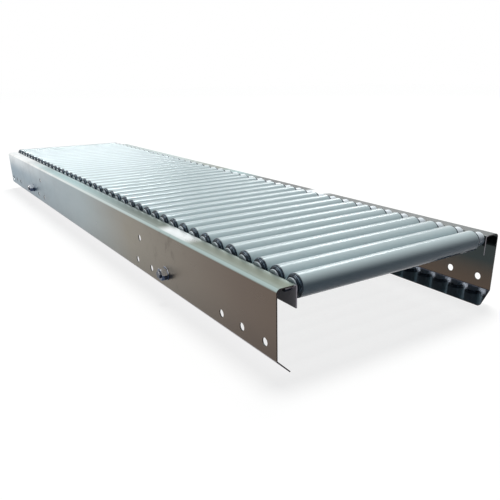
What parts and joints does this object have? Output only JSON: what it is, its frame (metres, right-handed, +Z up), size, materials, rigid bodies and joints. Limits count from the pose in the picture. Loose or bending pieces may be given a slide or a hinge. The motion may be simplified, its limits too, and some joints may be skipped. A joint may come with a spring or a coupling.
{
  "type": "gravity roller conveyor",
  "caption": "Straight gravity roller conveyor: plastic rollers turn freely on fixed hexagonal shafts between two folded stainless side frames tied across the bed.",
  "frame": {"origin": "floor plane under the middle of the conveyor, halfway along and halfway across", "axes": "+X along the conveying direction, +Y across towards the left side frame, +Z up"},
  "size_m": [2.51, 0.708, 0.1994],
  "materials": {
    "stainless_sheet": "satin",
    "roller_plastic": "gloss",
    "shaft_steel": "satin",
    "hub_plastic": "satin",
    "tie_steel": "satin"
  },
  "bodies": {
    "frame": {"left_side_frame": "stainless_sheet", "right_side_frame": "stainless_sheet", "roller_shafts": "shaft_steel", "bearing_hubs": "hub_plastic", "cross_tie_tubes": "stainless_sheet", "cross_tie_rods": "tie_steel", "tie_washers": "tie_steel", "tie_nuts": "tie_steel"},
    "roller_01": {"roller_01": "roller_plastic"},
    "roller_02": {"roller_02": "roller_plastic"},
    "roller_03": {"roller_03": "roller_plastic"},
    "roller_04": {"roller_04": "roller_plastic"},
    "roller_05": {"roller_05": "roller_plastic"},
    "roller_06": {"roller_06": "roller_plastic"},
    "roller_07": {"roller_07": "roller_plastic"},
    "roller_08": {"roller_08": "roller_plastic"},
    "roller_09": {"roller_09": "roller_plastic"},
    "roller_10": {"roller_10": "roller_plastic"},
    "roller_11": {"roller_11": "roller_plastic"},
    "roller_12": {"roller_12": "roller_plastic"},
    "roller_13": {"roller_13": "roller_plastic"},
    "roller_14": {"roller_14": "roller_plastic"},
    "roller_15": {"roller_15": "roller_plastic"},
    "roller_16": {"roller_16": "roller_plastic"},
    "roller_17": {"roller_17": "roller_plastic"},
    "roller_18": {"roller_18": "roller_plastic"},
    "roller_19": {"roller_19": "roller_plastic"},
    "roller_20": {"roller_20": "roller_plastic"},
    "roller_21": {"roller_21": "roller_plastic"},
    "roller_22": {"roller_22": "roller_plastic"},
    "roller_23": {"roller_23": "roller_plastic"},
    "roller_24": {"roller_24": "roller_plastic"},
    "roller_25": {"roller_25": "roller_plastic"},
    "roller_26": {"roller_26": "roller_plastic"},
    "roller_27": {"roller_27": "roller_plastic"},
    "roller_28": {"roller_28": "roller_plastic"},
    "roller_29": {"roller_29": "roller_plastic"},
    "roller_30": {"roller_30": "roller_plastic"},
    "roller_31": {"roller_31": "roller_plastic"},
    "roller_32": {"roller_32": "roller_plastic"},
    "roller_33": {"roller_33": "roller_plastic"},
    "roller_34": {"roller_34": "roller_plastic"},
    "roller_35": {"roller_35": "roller_plastic"},
    "roller_36": {"roller_36": "roller_plastic"},
    "roller_37": {"roller_37": "roller_plastic"},
    "roller_38": {"roller_38": "roller_plastic"},
    "roller_39": {"roller_39": "roller_plastic"},
    "roller_40": {"roller_40": "roller_plastic"},
    "roller_41": {"roller_41": "roller_plastic"},
    "roller_42": {"roller_42": "roller_plastic"}
  },
  "joints": [
    {"name": "roller_01_spin", "type": "hinge", "parent": "frame", "child": "roller_01", "pos_m": [-1.23, 0, 0.17436], "axis": [0, 1, 0], "continuous": true},
    {"name": "roller_02_spin", "type": "hinge", "parent": "frame", "child": "roller_02", "pos_m": [-1.17, 0, 0.17436], "axis": [0, 1, 0], "continuous": true},
    {"name": "roller_03_spin", "type": "hinge", "parent": "frame", "child": "roller_03", "pos_m": [-1.11, 0, 0.17436], "axis": [0, 1, 0], "continuous": true},
    {"name": "roller_04_spin", "type": "hinge", "parent": "frame", "child": "roller_04", "pos_m": [-1.05, 0, 0.17436], "axis": [0, 1, 0], "continuous": true},
    {"name": "roller_05_spin", "type": "hinge", "parent": "frame", "child": "roller_05", "pos_m": [-0.99, 0, 0.17436], "axis": [0, 1, 0], "continuous": true},
    {"name": "roller_06_spin", "type": "hinge", "parent": "frame", "child": "roller_06", "pos_m": [-0.93, 0, 0.17436], "axis": [0, 1, 0], "continuous": true},
    {"name": "roller_07_spin", "type": "hinge", "parent": "frame", "child": "roller_07", "pos_m": [-0.87, 0, 0.17436], "axis": [0, 1, 0], "continuous": true},
    {"name": "roller_08_spin", "type": "hinge", "parent": "frame", "child": "roller_08", "pos_m": [-0.81, 0, 0.17436], "axis": [0, 1, 0], "continuous": true},
    {"name": "roller_09_spin", "type": "hinge", "parent": "frame", "child": "roller_09", "pos_m": [-0.75, 0, 0.17436], "axis": [0, 1, 0], "continuous": true},
    {"name": "roller_10_spin", "type": "hinge", "parent": "frame", "child": "roller_10", "pos_m": [-0.69, 0, 0.17436], "axis": [0, 1, 0], "continuous": true},
    {"name": "roller_11_spin", "type": "hinge", "parent": "frame", "child": "roller_11", "pos_m": [-0.63, 0, 0.17436], "axis": [0, 1, 0], "continuous": true},
    {"name": "roller_12_spin", "type": "hinge", "parent": "frame", "child": "roller_12", "pos_m": [-0.57, 0, 0.17436], "axis": [0, 1, 0], "continuous": true},
    {"name": "roller_13_spin", "type": "hinge", "parent": "frame", "child": "roller_13", "pos_m": [-0.51, 0, 0.17436], "axis": [0, 1, 0], "continuous": true},
    {"name": "roller_14_spin", "type": "hinge", "parent": "frame", "child": "roller_14", "pos_m": [-0.45, 0, 0.17436], "axis": [0, 1, 0], "continuous": true},
    {"name": "roller_15_spin", "type": "hinge", "parent": "frame", "child": "roller_15", "pos_m": [-0.39, 0, 0.17436], "axis": [0, 1, 0], "continuous": true},
    {"name": "roller_16_spin", "type": "hinge", "parent": "frame", "child": "roller_16", "pos_m": [-0.33, 0, 0.17436], "axis": [0, 1, 0], "continuous": true},
    {"name": "roller_17_spin", "type": "hinge", "parent": "frame", "child": "roller_17", "pos_m": [-0.27, 0, 0.17436], "axis": [0, 1, 0], "continuous": true},
    {"name": "roller_18_spin", "type": "hinge", "parent": "frame", "child": "roller_18", "pos_m": [-0.21, 0, 0.17436], "axis": [0, 1, 0], "continuous": true},
    {"name": "roller_19_spin", "type": "hinge", "parent": "frame", "child": "roller_19", "pos_m": [-0.15, 0, 0.17436], "axis": [0, 1, 0], "continuous": true},
    {"name": "roller_20_spin", "type": "hinge", "parent": "frame", "child": "roller_20", "pos_m": [-0.09, 0, 0.17436], "axis": [0, 1, 0], "continuous": true},
    {"name": "roller_21_spin", "type": "hinge", "parent": "frame", "child": "roller_21", "pos_m": [-0.03, 0, 0.17436], "axis": [0, 1, 0], "continuous": true},
    {"name": "roller_22_spin", "type": "hinge", "parent": "frame", "child": "roller_22", "pos_m": [0.03, 0, 0.17436], "axis": [0, 1, 0], "continuous": true},
    {"name": "roller_23_spin", "type": "hinge", "parent": "frame", "child": "roller_23", "pos_m": [0.09, 0, 0.17436], "axis": [0, 1, 0], "continuous": true},
    {"name": "roller_24_spin", "type": "hinge", "parent": "frame", "child": "roller_24", "pos_m": [0.15, 0, 0.17436], "axis": [0, 1, 0], "continuous": true},
    {"name": "roller_25_spin", "type": "hinge", "parent": "frame", "child": "roller_25", "pos_m": [0.21, 0, 0.17436], "axis": [0, 1, 0], "continuous": true},
    {"name": "roller_26_spin", "type": "hinge", "parent": "frame", "child": "roller_26", "pos_m": [0.27, 0, 0.17436], "axis": [0, 1, 0], "continuous": true},
    {"name": "roller_27_spin", "type": "hinge", "parent": "frame", "child": "roller_27", "pos_m": [0.33, 0, 0.17436], "axis": [0, 1, 0], "continuous": true},
    {"name": "roller_28_spin", "type": "hinge", "parent": "frame", "child": "roller_28", "pos_m": [0.39, 0, 0.17436], "axis": [0, 1, 0], "continuous": true},
    {"name": "roller_29_spin", "type": "hinge", "parent": "frame", "child": "roller_29", "pos_m": [0.45, 0, 0.17436], "axis": [0, 1, 0], "continuous": true},
    {"name": "roller_30_spin", "type": "hinge", "parent": "frame", "child": "roller_30", "pos_m": [0.51, 0, 0.17436], "axis": [0, 1, 0], "continuous": true},
    {"name": "roller_31_spin", "type": "hinge", "parent": "frame", "child": "roller_31", "pos_m": [0.57, 0, 0.17436], "axis": [0, 1, 0], "continuous": true},
    {"name": "roller_32_spin", "type": "hinge", "parent": "frame", "child": "roller_32", "pos_m": [0.63, 0, 0.17436], "axis": [0, 1, 0], "continuous": true},
    {"name": "roller_33_spin", "type": "hinge", "parent": "frame", "child": "roller_33", "pos_m": [0.69, 0, 0.17436], "axis": [0, 1, 0], "continuous": true},
    {"name": "roller_34_spin", "type": "hinge", "parent": "frame", "child": "roller_34", "pos_m": [0.75, 0, 0.17436], "axis": [0, 1, 0], "continuous": true},
    {"name": "roller_35_spin", "type": "hinge", "parent": "frame", "child": "roller_35", "pos_m": [0.81, 0, 0.17436], "axis": [0, 1, 0], "continuous": true},
    {"name": "roller_36_spin", "type": "hinge", "parent": "frame", "child": "roller_36", "pos_m": [0.87, 0, 0.17436], "axis": [0, 1, 0], "continuous": true},
    {"name": "roller_37_spin", "type": "hinge", "parent": "frame", "child": "roller_37", "pos_m": [0.93, 0, 0.17436], "axis": [0, 1, 0], "continuous": true},
    {"name": "roller_38_spin", "type": "hinge", "parent": "frame", "child": "roller_38", "pos_m": [0.99, 0, 0.17436], "axis": [0, 1, 0], "continuous": true},
    {"name": "roller_39_spin", "type": "hinge", "parent": "frame", "child": "roller_39", "pos_m": [1.05, 0, 0.17436], "axis": [0, 1, 0], "continuous": true},
    {"name": "roller_40_spin", "type": "hinge", "parent": "frame", "child": "roller_40", "pos_m": [1.11, 0, 0.17436], "axis": [0, 1, 0], "continuous": true},
    {"name": "roller_41_spin", "type": "hinge", "parent": "frame", "child": "roller_41", "pos_m": [1.17, 0, 0.17436], "axis": [0, 1, 0], "continuous": true},
    {"name": "roller_42_spin", "type": "hinge", "parent": "frame", "child": "roller_42", "pos_m": [1.23, 0, 0.17436], "axis": [0, 1, 0], "continuous": true}
  ]
}
